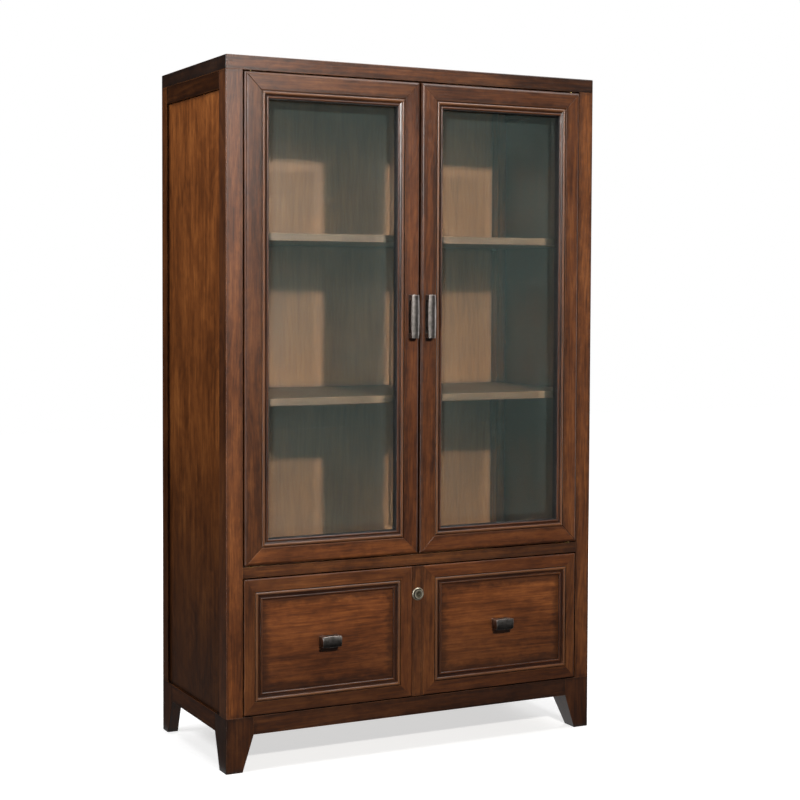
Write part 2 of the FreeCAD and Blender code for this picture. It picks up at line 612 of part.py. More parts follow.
def make_lock():
    nose_front = -DRAWER_PROUD - LOCK_NOSE_OUT
    collar_front = -DRAWER_PROUD - LOCK_COLLAR_T
    barrel_end = BOX_FRONT_BACK + LOCK_TAIL
    cam_front = barrel_end + CAM_GAP
    collar = drum(0, LOCK_Z, LOCK_COLLAR_R, collar_front, -DRAWER_PROUD)
    rim = [e for e in collar.Edges
           if e.Closed and abs(e.CenterOfMass.y - FRONT - collar_front) < 0.1]
    collar = collar.makeChamfer(1.2, rim)
    nose = drum(0, LOCK_Z, LOCK_NOSE_R, nose_front, -DRAWER_PROUD)
    barrel = drum(0, LOCK_Z, LOCK_BARREL_R, -DRAWER_PROUD, barrel_end)
    bore = drum(0, LOCK_Z, LOCK_PLUG_R + RUN_FIT, nose_front - 1, barrel_end + 1)
    save("lock_body", solid_of(collar.fuse(nose).fuse(barrel).cut(bore)))

    plug_front = nose_front + LOCK_PLUG_SUNK
    plug = drum(0, LOCK_Z, LOCK_PLUG_R, plug_front, cam_front)
    keyway = box(-KEYWAY_W / 2, KEYWAY_W / 2, plug_front - 1, plug_front + KEYWAY_D,
                 LOCK_Z - KEYWAY_H / 2, LOCK_Z + KEYWAY_H / 2)
    arm_end = CAM_L - CAM_W / 2
    arm = box(0, arm_end, cam_front, cam_front + CAM_T, LOCK_Z - CAM_W / 2, LOCK_Z + CAM_W / 2)
    hub = drum(0, LOCK_Z, CAM_HUB_R, cam_front, cam_front + CAM_T)
    tip = drum(arm_end, LOCK_Z, CAM_W / 2, cam_front, cam_front + CAM_T)
    save("lock_plug", solid_of(plug.cut(keyway).fuse(arm).fuse(hub).fuse(tip)))

    board_low = MID_RAIL_TOP - BOARD_T
    save("lock_keeper", box(-KEEPER_W / 2, KEEPER_W / 2, RAIL_T, cam_front - KEEPER_GAP,
                            board_low - KEEPER_H, board_low))


def make_drawer():
    strip_mid = (OUTER_STILE_W - INNER_STILE_W) / 2
    pull_x = (DOOR_OUT + CENTRE_STRIP_W / 2) / 2 - strip_mid
    face = DRAWER_PANEL_FRONT
    pull_size = (DRAWER_PULL_L, DRAWER_PULL_W, DRAWER_PULL_END_W, DRAWER_PULL_REACH)
    screws, holes, pulls = [], [], []
    for x in (-pull_x, pull_x):
        two, bores = pull_screws(x, face, DRAWER_PULL_Z, DRAWER_PULL_L, False, BOX_FRONT_BACK)
        screws += two
        holes += bores
        pulls.append(pull_at(x, face, DRAWER_PULL_Z, pull_size, False))
    make_drawer_front(holes)
    make_drawer_box(holes)
    save("drawer_pulls", *pulls)
    save("drawer_pull_screws", *screws)
    make_slides()
    make_lock()


os.makedirs(OUT, exist_ok=True)
make_case()
make_doors()
make_drawer()
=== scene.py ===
import math
import random

import bpy
from mathutils import Matrix, Vector


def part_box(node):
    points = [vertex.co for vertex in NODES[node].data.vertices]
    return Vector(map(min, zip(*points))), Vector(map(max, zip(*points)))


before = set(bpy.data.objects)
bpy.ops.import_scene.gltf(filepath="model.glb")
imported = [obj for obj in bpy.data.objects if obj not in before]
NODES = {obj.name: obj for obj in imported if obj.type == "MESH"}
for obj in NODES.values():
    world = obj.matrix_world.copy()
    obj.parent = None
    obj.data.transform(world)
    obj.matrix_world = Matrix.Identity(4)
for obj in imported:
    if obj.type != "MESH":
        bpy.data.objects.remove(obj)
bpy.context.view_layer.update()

RNG = random.Random(11)
AXES = {"x": 0, "y": 1, "z": 2}

# ---- finishes: linear colours from dark to light ----
CHERRY = [
    (0.00, (0.026, 0.0068, 0.0020)),
    (0.30, (0.078, 0.0218, 0.0048)),
    (0.52, (0.142, 0.0410, 0.0088)),
    (0.76, (0.225, 0.0715, 0.0160)),
    (1.00, (0.350, 0.1280, 0.0350)),
]
INNER = [
    (0.00, (0.088, 0.032, 0.009)),
    (0.40, (0.144, 0.059, 0.017)),
    (0.65, (0.198, 0.086, 0.027)),
    (1.00, (0.265, 0.126, 0.044)),
]
MAPLE = [
    (0.00, (0.300, 0.180, 0.085)),
    (0.40, (0.440, 0.290, 0.155)),
    (0.70, (0.540, 0.380, 0.220)),
    (1.00, (0.640, 0.480, 0.300)),
]
PORE_TINT = (0.34, 0.28, 0.26)
# Moulding colours: glaze with painted shade in the grooves, rubbed wear with a painted highlight
# on the ridges.
GROOVE_GLAZE_AND_SHADE = (0.24, 0.18, 0.16)
RIDGE_WEAR_AND_HIGHLIGHT = (0.30, 0.16, 0.08)
PEWTER = (0.17, 0.155, 0.145), (0.34, 0.315, 0.295)
AGED_BRASS = (0.60, 0.53, 0.38), (0.95, 0.88, 0.70)
DARK_BRASS = (0.22, 0.19, 0.12), (0.46, 0.41, 0.29)
HINGE_BRASS = (0.45, 0.30, 0.11), (0.72, 0.54, 0.24)
SLIDE_STEEL = (0.42, 0.43, 0.45), (0.66, 0.67, 0.69)
PLAIN_STEEL = (0.40, 0.41, 0.43), (0.68, 0.69, 0.71)
HOLLOW_TONE, CHANNEL_TONE = 0.12, 0.06      # how much of a metal's colour patina leaves
RUBBER = (0.006, 0.006, 0.007), (0.016, 0.016, 0.017)
BROWN_PLASTIC = (0.035, 0.018, 0.010), (0.06, 0.03, 0.018)
GLASS_TINT = (0.90, 0.94, 0.92, 1.0)
HAZE_TINT = (0.70, 0.98, 0.92, 1.0)
WHITE = (1.0, 1.0, 1.0, 1.0)

# ---- wood figure: spots per metre along and across the grain, detail, roughness, warp ----
FIGURE = {
    "sway": (1.6, 5.0, 2.0, 0.55, 0.0),
    "streak": (5.0, 70.0, 3.0, 0.60, 0.2),
    "blotch": (4.5, 13.0, 3.0, 0.55, 0.4),
    "mottle": (38.0, 60.0, 3.0, 0.60, 0.5),
    "fine": (15.0, 270.0, 3.0, 0.65, 0.0),
    "fibre": (45.0, 800.0, 2.0, 0.60, 0.0),
}
RING_SHARE = 0.12
TONE_SHARES = {"streak": 0.20, "blotch": 0.24, "mottle": 0.12, "fine": 0.22, "fibre": 0.10}
TONE_HALF_RANGE = 0.22      # how far the summed tone swings about its middle
RINGS_PER_METRE = 150.0
RING_LEAN = 0.03, 0.08      # metres that the tree's heart leaves a board by, per metre
HEART_BESIDE, HEART_BEHIND = (0.10, 0.22), (0.05, 0.11)
HEART_WANDER = 0.16
PORE_LEVELS = 0.58, 0.68
WARMTH_SPREAD = 0.06        # how much boards differ between redder and yellower
BOARD_OFFSET = 40.0         # each board is cut from its own place in the figure
PORE_DEPTH = 0.50
EDGE_RADIUS, EDGE_WEAR = 0.0025, 0.5
END_GRAIN_STAIN = 0.26
# Painted shade in grooves, inner corners and between parts, along with glaze gathered there: its
# reach and how dark it gets.
CREVICE_REACH = 0.018
CREVICE_GLAZE_AND_SHADE = 0.30
THIN_BOARD = 0.05           # a board thinner than this has no rim on its broad faces
FACE_SKIN = 0.0012          # points this near a face lie on it, not beside its rim

# ---- measures in metres ----
BEVEL_RIM = 0.030           # hidden edge and bevel of a pane, from its outline inwards
STRIP_START, STRIP_END = 0.018, 0.026       # where the bright strip beside it fades out
STRIP_LIGHT, PANE_LIGHT = 1.37, 1.04        # lamp light let through, there and further in
HAZE = 0.021, 0.027                         # least and most of a pane's film
BEAD_RELIEF = 0.005
OUTER_STILE, INNER_STILE, DRAWER_RAIL = 0.027, 0.032, 0.031
DRAWER_BEAD = 0.021
ARRIS, DOOR_ARRIS = 0.0007, 0.0014
LOCK_RING_CHANNELS = (0.0066, 0.0088), (0.0110, 0.0138)
PLUG_CHANNELS = ((0.0035, 0.0050),)
BRUSH_ALONG, BRUSH_ACROSS = 18.0, 700.0     # spots per metre of brushed metal
# Painted shade towards a drawer pull's foot and a painted highlight towards its top.
PULL_SHADE_START = 0.002        # height over a drawer pull's foot
PULL_SHADE_AND_HIGHLIGHT = 0.30, 1.5    # under and over a metal's fade
CHANNEL_COVER = 0.92        # how fully patina fills a turned ring
PANEL_RIM = 0.026, 0.50     # reach and depth of a drawer panel's darker outline
PANEL_FADE_TOP, PANEL_FADE_FOOT = 0.04, 0.03        # from its opening's edges inwards
EVEN_WIDTHS = (1.0, 1.0, 1.0)
NEAR = 0.001


class Graph:
    """A material or a world being put together from shader nodes."""

    def __init__(self, owner, output="ShaderNodeOutputMaterial"):
        owner.use_nodes = True
        self.owner = owner
        self.tree = owner.node_tree
        self.tree.nodes.clear()
        self.output = self.tree.nodes.new(output)

    def plug(self, value, socket):
        """Sets a socket to a value, or links another node's output to it."""
        if isinstance(value, bpy.types.NodeSocket):
            self.tree.links.new(value, socket)
        else:
            socket.default_value = value

    def node(self, kind, inputs=None, **settings):
        """A shader node with inputs set or linked, and settings of its own."""
        made = self.tree.nodes.new("ShaderNode" + kind)
        for key, value in settings.items():
            setattr(made, key, value)
        for key, value in (inputs or {}).items():
            self.plug(value, made.inputs[key])
        return made

    def math(self, operation, *values):
        made = self.node("Math", operation=operation)
        for number, value in enumerate(values):
            self.plug(value, made.inputs[number])
        return made.outputs[0]

    def product(self, factors):
        whole = factors[0]
        for factor in factors[1:]:
            whole = self.math("MULTIPLY", whole, factor)
        return whole

    def vector(self, x, y, z):
        return self.node("CombineXYZ", {"X": x, "Y": y, "Z": z}).outputs[0]

    def position(self):
        """The point on the piece, in metres, as three numbers."""
        coords = self.node("TexCoord").outputs["Object"]
        return self.node("SeparateXYZ", {"Vector": coords}).outputs

    def noise(self, vector, scale=1.0, detail=2.0, rough=0.5, warp=0.0):
        made = self.node("TexNoise", {
            "Vector": vector, "Scale": scale, "Detail": detail,
            "Roughness": rough, "Distortion": warp})
        return made.outputs["Fac"]

    def spread(self, value, low, high, to_low=0.0, to_high=1.0):
        """value from low..high to to_low..to_high, with soft ends."""
        made = self.node("MapRange", {
            "Value": value, "From Min": low, "From Max": high,
            "To Min": to_low, "To Max": to_high}, interpolation_type="SMOOTHSTEP")
        return made.outputs["Result"]

    def distance(self, across, along):
        """Length of the diagonal over two sides."""
        square = self.math("MULTIPLY", across, across)
        return self.math("SQRT", self.math("ADD", square, self.math("MULTIPLY", along, along)))

    def ramp(self, value, stops):
        made = self.node("ValToRGB", {"Fac": value})
        points = made.color_ramp.elements
        while len(points) < len(stops):
            points.new(0.5)
        for point, (place, colour) in zip(points, stops):
            point.position = place
            point.color = (*colour, 1.0)
        return made.outputs["Color"]

    def mix(self, factor, first, second, blend="MIX"):
        made = self.node("Mix", data_type="RGBA", blend_type=blend, clamp_factor=True)
        colours = [s for s in made.inputs if s.type == "RGBA"]
        self.plug(factor, made.inputs["Factor"])
        for value, socket in zip((first, second), colours):
            whole = isinstance(value, bpy.types.NodeSocket)
            self.plug(value if whole else (*value, 1.0), socket)
        return [s for s in made.outputs if s.type == "RGBA"][0]

    def dim(self, colour, factor):
        """The colour times one number."""
        return self.mix(1.0, colour, self.vector(factor, factor, factor), "MULTIPLY")

    def crevice(self, distance):
        """1 in the open, falling towards 0 in grooves and inner corners."""
        made = self.node("AmbientOcclusion", {"Distance": distance}, samples=6)
        return made.outputs["AO"]

    def edge_wear_and_highlight(self, radius, low=0.02, high=0.22):
        """1 along sharp outer edges."""
        soft = self.node("Bevel", {"Radius": radius}, samples=4).outputs["Normal"]
        true = self.node("NewGeometry").outputs["Normal"]
        dot = self.node("VectorMath", {0: soft, 1: true}, operation="DOT_PRODUCT")
        return self.spread(self.math("SUBTRACT", 1.0, dot.outputs["Value"]), low, high)

    def bump(self, height, strength, distance):
        made = self.node("Bump", {
            "Strength": strength, "Distance": distance, "Height": height})
        return made.outputs["Normal"]

    def in_sight(self):
        """1 for what the camera sees directly or through clear glass, 0 for bounced light."""
        ray = self.node("LightPath").outputs
        bounces = self.math("ADD", ray["Diffuse Depth"], ray["Glossy Depth"])
        unbounced = self.math("LESS_THAN", bounces, 0.5)
        through = self.math("MULTIPLY", ray["Is Transmission Ray"], unbounced)
        return self.math("MAXIMUM", ray["Is Camera Ray"], through)

    def surface(self, shader):
        self.tree.links.new(shader, self.output.inputs["Surface"])
        return self.owner

    def finish(self, **inputs):
        """A Principled surface. Names use underscores for spaces."""
        shader = self.node("BsdfPrincipled", {
            key.replace("_", " "): value for key, value in inputs.items()})
        return self.surface(shader.outputs[0])


def scaled(colour, gain):
    """A brighter or darker colour, with no channel past 1."""
    return tuple(min(1.0, c * gain) for c in colour)


def tinted(stops, shade, warmth):
    """The same finish, lighter or darker and a little redder or yellower."""
    gains = (shade, shade * (1 + warmth), shade * (1 + 1.5 * warmth))
    return [(place, tuple(min(1.0, c * g) for c, g in zip(colour, gains)))
            for place, colour in stops]


class Board(Graph):
    """The figure of one board, whose grain runs along one axis."""

    def __init__(self, name, along):
        super().__init__(bpy.data.materials.new(name))
        self.place = self.position()
        self.along = AXES[along]
        self.run = self.place[self.along]
        self.sides = [self.place[n] for n in range(3) if n != self.along]
        self.shift = [RNG.uniform(-BOARD_OFFSET, BOARD_OFFSET) for _ in range(3)]
        self.cut = [self.math("ADD", side, offset)
                    for side, offset in zip([self.run] + self.sides, self.shift)]

    def grain(self, kind):
        """Noise whose spots are drawn out along the grain."""
        length, across, detail, rough, warp = FIGURE[kind]
        a, u, v = self.cut
        stretched = self.vector(self.math("MULTIPLY", a, length),
                                self.math("MULTIPLY", u, across),
                                self.math("MULTIPLY", v, across))
        return self.noise(stretched, detail=detail, rough=rough, warp=warp)

    def rings(self):
        """Growth rings about a heart that lies outside the board and wanders along it."""
        lean = RNG.choice((-1, 1)) * RNG.uniform(*RING_LEAN)
        beside = RNG.choice((-1, 1)) * RNG.uniform(*HEART_BESIDE)
        behind = RNG.uniform(*HEART_BEHIND)
        bend = self.math("MULTIPLY_ADD", self.grain("sway"), HEART_WANDER,
                         self.math("MULTIPLY", self.run, lean))
        across = self.math("ADD", self.math("ADD", self.sides[0], beside), bend)
        deep = self.math("ADD", self.sides[1], behind)
        count = self.math("MULTIPLY_ADD", self.distance(across, deep), RINGS_PER_METRE,
                          self.shift[0])
        return self.node("TexNoise", {"W": count, "Scale": 1.0, "Detail": 3.0, "Roughness": 0.6},
                         noise_dimensions="1D").outputs["Fac"]

    def rim_stain(self, low, high, reach, depth, wander):
        """The darker outline of a board whose corners are low and high."""
        gap = 1.0
        for n in range(3):
            if n == AXES["y"] and high[n] - low[n] < THIN_BOARD:
                continue
            inner = self.math("MINIMUM", self.math("SUBTRACT", self.place[n], low[n]),
                              self.math("SUBTRACT", high[n], self.place[n]))
            on_face = self.math("SUBTRACT", 1.0, self.math("GREATER_THAN", inner, FACE_SKIN))
            gap = self.math("MINIMUM", gap, self.math("ADD", on_face, inner))
        uneven = self.math("MULTIPLY_ADD", self.math("SUBTRACT", wander, 0.5), 1.2 * reach, gap)
        return self.spread(uneven, 0.15 * reach, reach, depth, 1.0)

    def facing_stain_and_shade(self, axis, factor):
        """A factor for the faces that look along one axis, 1 for the rest."""
        normal = self.node("NewGeometry").outputs["True Normal"]
        parts = self.node("SeparateXYZ", {"Vector": normal}).outputs
        return self.spread(self.math("ABSOLUTE", parts[axis]), 0.6, 0.8, 1.0, factor)

    def moulded(self, colour, front, back):
        """Darker in a moulding's grooves and paler on its ridges, by depth from front to back:
        glaze with painted shade in the grooves, rubbed wear with a painted highlight on the
        ridges.
        """
        height = self.spread(self.place[AXES["y"]], front, back, 1.0, 0.0)
        colour = self.mix(self.math("SUBTRACT", 1.0, height), colour, GROOVE_GLAZE_AND_SHADE, "MULTIPLY")
        return self.mix(self.spread(height, 0.85, 1.0, 0.0, 0.25), colour, RIDGE_WEAR_AND_HIGHLIGHT)


def wood(name, along, stops=CHERRY, shade=1.0, warmth=0.0, contrast=1.0, rim=None,
         stain_and_shade_fade=None, painted_side_shade=1.0, grooves=None, sheen=0.345, gloss=0.55):
    """Finished wood whose grain runs along one axis.

    rim: (low, high, reach, depth) of a board whose outline is stained darker.
    fade: (axis, start, end, factor) of a tone that goes from 1 to the factor along the board,
    part stain and part painted shade.
    flank: painted shade, a factor for the faces turned to the sides.
    grooves: (front, back) depths of a moulding, paler on its ridges from wear and a painted
    highlight, darker between from glaze and painted shade.
    sheen: close to its mean roughness. gloss: how strongly its surface mirrors."""
    g = Board(name, along)
    ring = g.rings()
    figure = {kind: g.grain(kind) for kind in TONE_SHARES}
    pores = g.spread(figure["fibre"], *PORE_LEVELS)

    tone = g.math("MULTIPLY", ring, RING_SHARE)
    for kind, share in TONE_SHARES.items():
        tone = g.math("MULTIPLY_ADD", figure[kind], share, tone)
    swing = TONE_HALF_RANGE / contrast
    tone = g.spread(tone, 0.5 - swing, 0.5 + swing)
    warmth += RNG.uniform(-WARMTH_SPREAD, WARMTH_SPREAD)
    colour = g.ramp(tone, tinted(stops, shade, warmth))
    colour = g.mix(g.math("MULTIPLY", pores, PORE_DEPTH), colour, PORE_TINT, "MULTIPLY")

    # Painted shade: darker in grooves, inner corners and between parts, along with glaze
    # gathered there.
    stains_and_shade = [g.spread(g.crevice(CREVICE_REACH), 0.25, 0.95, CREVICE_GLAZE_AND_SHADE, 1.0)]
    if rim:
        stains_and_shade.append(g.rim_stain(*rim, figure["mottle"]))
    stains_and_shade.append(g.facing_stain_and_shade(g.along, END_GRAIN_STAIN))
    # Painted shade: the faces turned to the sides are darker.
    stains_and_shade.append(g.facing_stain_and_shade(AXES["x"], painted_side_shade))
    # Part stain, part painted shade: a tone that changes along the board.
    if stain_and_shade_fade:
        axis, start, end, factor = stain_and_shade_fade
        stains_and_shade.append(g.spread(g.place[AXES[axis]], start, end, 1.0, factor))
    colour = g.dim(colour, g.product(stains_and_shade))
    if grooves:
        colour = g.moulded(colour, *grooves)
    wear = g.math("MULTIPLY", g.edge_wear_and_highlight(EDGE_RADIUS), g.spread(figure["streak"], 0.35, 0.65))
    colour = g.mix(g.math("MULTIPLY", wear, EDGE_WEAR), colour, stops[-1][1])

    rough = g.math("MULTIPLY_ADD", figure["blotch"], 0.14, sheen - 0.07)
    rough = g.math("MULTIPLY_ADD", figure["fibre"], 0.10, rough)
    height = g.math("MULTIPLY_ADD", pores, -0.6, g.math("MULTIPLY", figure["fibre"], 0.5))
    height = g.math("ADD", height, figure["mottle"])
    return g.finish(Base_Color=colour, Roughness=rough, Specular_IOR_Level=gloss,
                    Normal=g.bump(height, strength=0.30, distance=0.0004))


def blackened(g, colour, dark, centre, channels):
    """Rings of patina about a centre (x, z), each between two radii."""
    x, _, z = g.position()
    radius = g.distance(g.math("SUBTRACT", x, centre[0]), g.math("SUBTRACT", z, centre[1]))
    for inner, outer in channels:
        middle, half = (inner + outer) / 2, (outer - inner) / 2
        off = g.math("ABSOLUTE", g.math("SUBTRACT", radius, middle))
        cover = g.spread(off, 0.6 * half, 1.3 * half, CHANNEL_COVER, 0.0)
        colour = g.mix(cover, colour, scaled(dark, CHANNEL_TONE))
    return colour


def metal(name, colours, rough, brushed=None, aged=0.6, hollow=0.006, centre=None,
          channels=(), wear_and_highlight_width=0.0012, wear_and_highlight_gain=1.8, stain_and_shade_fade=None):
    """Cast or rolled metal with a patina in its hollows and rubbed edges.

    brushed: the axis that its fine lines follow. hollow: how deep a patina gathers.
    channels: (inner, outer) radii of blackened rings turned round the centre (x, z).
    rub, rubbed: width of the brighter edges and how much brighter they are, from wear and, on
    the pulls, from a painted highlight as well.
    fade: (low, high) levels between which the colour goes from painted shade below to a painted
    highlight above."""
    dark, light = colours
    g = Graph(bpy.data.materials.new(name))
    place = g.position()
    cloud = g.noise(g.vector(*place), scale=110.0, detail=4.0, rough=0.55)
    if brushed:
        stretch = [BRUSH_ALONG if axis == brushed else BRUSH_ACROSS for axis in AXES]
        lines = g.noise(g.vector(*[g.math("MULTIPLY", p, s) for p, s in zip(place, stretch)]))
    else:
        lines = g.noise(g.vector(*place), scale=1500.0)
    tone = g.math("MULTIPLY_ADD", lines, 0.25, g.math("MULTIPLY", cloud, 0.75))
    colour = g.mix(g.spread(tone, 0.30, 0.70), dark, light)
    hidden = g.math("SUBTRACT", 1.0, g.spread(g.crevice(hollow), 0.2, 0.9))
    colour = g.mix(g.math("MULTIPLY", hidden, aged), colour, scaled(dark, HOLLOW_TONE))
    if channels:
        colour = blackened(g, colour, dark, centre, channels)
    if stain_and_shade_fade:
        # Painted shade below and a painted highlight above.
        colour = g.dim(colour, g.spread(place[AXES["z"]], *stain_and_shade_fade, *PULL_SHADE_AND_HIGHLIGHT))
    # Brighter edges: wear, and on the pulls a painted highlight too.
    colour = g.mix(g.math("MULTIPLY", g.edge_wear_and_highlight(wear_and_highlight_width), 0.65), colour, scaled(light, wear_and_highlight_gain))
    roughness = g.spread(tone, 0.3, 0.7, rough - 0.02, rough + 0.03)
    return g.finish(Base_Color=colour, Metallic=1.0, Roughness=roughness,
                    Normal=g.bump(lines, strength=0.05, distance=0.0001))


def polymer(name, colours, rough):
    """Rubber or moulded plastic: finely grained, with dust on its edges."""
    dark, light = colours
    g = Graph(bpy.data.materials.new(name))
    place = g.vector(*g.position())
    grain = g.noise(place, scale=2200.0)
    cloud = g.noise(place, scale=60.0, detail=3.0)
    shade = g.mix(g.spread(cloud, 0.35, 0.7), dark, light)
    shade = g.mix(g.math("MULTIPLY", g.edge_wear_and_highlight(0.0012), 0.4), shade, scaled(light, 2.5))
    return g.finish(Base_Color=shade,
                    Roughness=g.spread(grain, 0.3, 0.7, rough - 0.08, rough + 0.08),
                    Normal=g.bump(grain, strength=0.3, distance=0.0002))


def glass(name, low, high):
    """Clear pane with a faint haze.

    A lamp's rays go straight through. The bevelled rim bends them inwards, so the rim itself
    throws a shadow and the strip beside it a brighter line."""
    g = Graph(bpy.data.materials.new(name))
    x, y, z = g.position()
    smear = g.noise(g.vector(x, y, z), scale=5.0, detail=3.0, warp=0.6)
    clear = g.node("BsdfPrincipled", {
        "Base Color": GLASS_TINT, "Roughness": 0.0, "IOR": 1.5,
        "Transmission Weight": 1.0}).outputs[0]
    film = g.node("BsdfDiffuse", {"Color": HAZE_TINT}).outputs[0]
    haze = g.spread(smear, 0.3, 0.7, *HAZE)
    hazy = g.node("MixShader", {"Fac": haze, 1: clear, 2: film}).outputs[0]
    gap = 1.0
    for value, start, end in ((x, low.x, high.x), (z, low.z, high.z)):
        gap = g.math("MINIMUM", gap, g.math("SUBTRACT", value, start))
        gap = g.math("MINIMUM", gap, g.math("SUBTRACT", end, value))
    flat = g.spread(gap, BEVEL_RIM - NEAR, BEVEL_RIM + NEAR)
    strip = g.spread(gap, BEVEL_RIM + STRIP_START, BEVEL_RIM + STRIP_END, STRIP_LIGHT,
                     PANE_LIGHT)
    through = g.math("MULTIPLY", flat, strip)
    open_way = g.node("BsdfTransparent", {"Color": g.vector(through, through, through)})
    lamp_ray = g.node("LightPath").outputs["Is Shadow Ray"]
    both = g.node("MixShader", {"Fac": lamp_ray, 1: hazy, 2: open_way.outputs[0]})
    return g.surface(both.outputs[0])


# ---- putting finishes on the CAD pieces ----
def dress(node, *materials):
    """Gives a piece its materials, the first one on every face."""
    mesh = NODES[node].data
    mesh.materials.clear()
    for material in materials:
        mesh.materials.append(material)
    for face in mesh.polygons:
        face.material_index = 0


def dress_frame(node, rects, shares, shades=(1.0, 1.0, 1.0, 1.0), **look):
    """Two upright and two level members, told apart by their mitre lines.

    rects: (x0, x1, z0, z1) of each frame. shares: left, right and level member widths.
    shades: left, right, top and bottom members."""
    left_w, right_w, level_w = shares
    mesh = NODES[node].data
    mesh.materials.clear()
    for number in range(len(rects)):
        for side, along, shade in zip(("left", "right", "top", "bottom"), "zzxx", shades):
            title = "%s %d %s" % (node, number, side)
            mesh.materials.append(wood(title, along, shade=shade, **look))
    for face in mesh.polygons:
        x, _, z = face.center
        reach = []
        for x0, x1, z0, z1 in rects:
            inside = x0 - NEAR < x < x1 + NEAR
            steps = [(x - x0) / left_w, (x1 - x) / right_w,
                     (z1 - z) / level_w, (z - z0) / level_w]
            reach.append((not inside, min(range(4), key=lambda n: steps[n])))
        ring = min(range(len(rects)), key=lambda n: reach[n][0])
        face.material_index = ring * 4 + reach[ring][1]


def rect_of(node):
    """Outline seen from the front: x0, x1, z0, z1."""
    low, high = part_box(node)
    return low.x, high.x, low.z, high.z


def inset(rect, left, right, level):
    """The outline moved inwards, by level at its top and bottom."""
    x0, x1, z0, z1 = rect
    return x0 + left, x1 - right, z0 + level, z1 - level


def rim_of(node, reach=0.012, depth=0.62):
    """The rim stain of a whole piece."""
    low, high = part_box(node)
    return tuple(low), tuple(high), reach, depth


def ease(node, width):
    """Takes the sharpness off a board's arrises."""
    piece = NODES[node]
    weld = piece.modifiers.new("join", "WELD")
    weld.merge_threshold = 0.00001
    flat = piece.modifiers.new("flat", "DECIMATE")
    flat.decimate_type = "DISSOLVE"
    flat.angle_limit = math.radians(0.5)
    soft = piece.modifiers.new("ease", "BEVEL")
    soft.width = width
    soft.segments = 2
    soft.limit_method = "ANGLE"
    soft.angle_limit = math.radians(35.0)
    level = piece.modifiers.new("level", "WEIGHTED_NORMAL")
    level.keep_sharp = False


# ---- the case ----
# Painted shade: the side panels grow darker towards the bottom.
SIDE_PANEL = dict(shade=1.25, contrast=0.95, gloss=0.30, stain_and_shade_fade=("z", 0.9, 0.2, 0.42))
# Side-face factors here are painted shade on the faces turned to the sides; the fades are tone
# gradients, part stain and part painted shade.
CASE_BOARDS = {
    "top_slab": ("x", dict(shade=1.0, painted_side_shade=0.45, stain_and_shade_fade=("x", -0.2, 0.5, 0.42))),
    "front_post_left": ("z", dict(shade=1.15, painted_side_shade=0.5, stain_and_shade_fade=("z", 0.9, 0.3, 1.25))),
    "front_post_right": ("z", dict(shade=1.25, painted_side_shade=0.5, stain_and_shade_fade=("z", 0.8, 0.3, 0.85))),
    "rear_post_left": ("z", dict(shade=0.55, gloss=0.25)),
    "rear_post_right": ("z", dict(shade=0.55, gloss=0.25)),
    "front_feet": ("z", dict(shade=0.45, painted_side_shade=0.6)),
    "rear_feet": ("z", dict(shade=0.40, gloss=0.25)),
    "side_top_rails": ("y", dict(shade=0.23, gloss=0.20)),
    "side_bottom_rails": ("y", dict(shade=0.50, gloss=0.25)),
    "side_panel_left": ("z", SIDE_PANEL),
    "side_panel_right": ("z", SIDE_PANEL),
    "mid_rail": ("x", dict(shade=1.15, stain_and_shade_fade=("x", -0.2, 0.4, 0.6))),
    "bottom_rail": ("x", dict(shade=0.5, stain_and_shade_fade=("x", -0.2, 0.4, 0.65))),
    "rear_bottom_rail": ("x", dict(shade=0.6)),
    "drawer_front_centre_strip": ("z", dict(shade=0.85)),
}
DULL = dict(contrast=0.8, sheen=0.5)        # boards left unpolished
SHELF_SHADE = 0.42
BOX_BOARDS = {
    "base_panel": "x",
    "drawer_box_front": "x",
    "drawer_box_sides": "y",
    "drawer_box_back": "x",
    "drawer_box_bottom": "x",
}
SIDE_PANELS = ("side_panel_left", "side_panel_right")
SHELVES = ("shelf_lower", "shelf_upper")
# Mitred frames aren't eased: their members share one mesh and must keep their joints.
EASED = (*CASE_BOARDS, *SHELVES, "back_panel", "divider_panel", "base_panel",
         "drawer_box_sides", "drawer_box_back", "drawer_box_bottom")

# ---- the doors and the drawer ----
DOORS = ("left_door", "right_door")
DRAWER_SIDES = ("left", "right")
DOOR_PARTS = {"hinge_stile": "z", "meeting_stile": "z", "top_rail": "x", "bottom_rail": "x"}
DOOR_SHADES = {"left_door": 0.90, "right_door": 1.00}
RAIL_SHADES = {("right_door", "top_rail"): 0.70, ("left_door", "bottom_rail"): 1.50}
DRAWER_FRAME_SHADES = (0.95, 0.90, 0.95, 0.62)


def bead_look(node):
    """Shinier than the boards, with grooves darkened by glaze and painted shade between ridges
    paled by wear and a painted highlight.
    """
    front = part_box(node)[0].y
    return dict(grooves=(front, front + BEAD_RELIEF), sheen=0.26, gloss=0.7)


def finish_case():
    for title, (along, look) in CASE_BOARDS.items():
        dress(title, wood(title, along, rim=rim_of(title), **look))
    for title in SIDE_PANELS:
        # Painted shade: the inward faces of the side panels take a darker copy of their wood.
        mesh = NODES[title].data
        mesh.materials.append(wood(title + " inside", "z", shade=0.35, contrast=0.6))
        low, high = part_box(title)
        middle = abs(low.x + high.x) / 2
        for face in mesh.polygons:
            inward = abs(face.center.x) < middle and abs(face.normal.x) > 0.9
            face.material_index = int(inward)


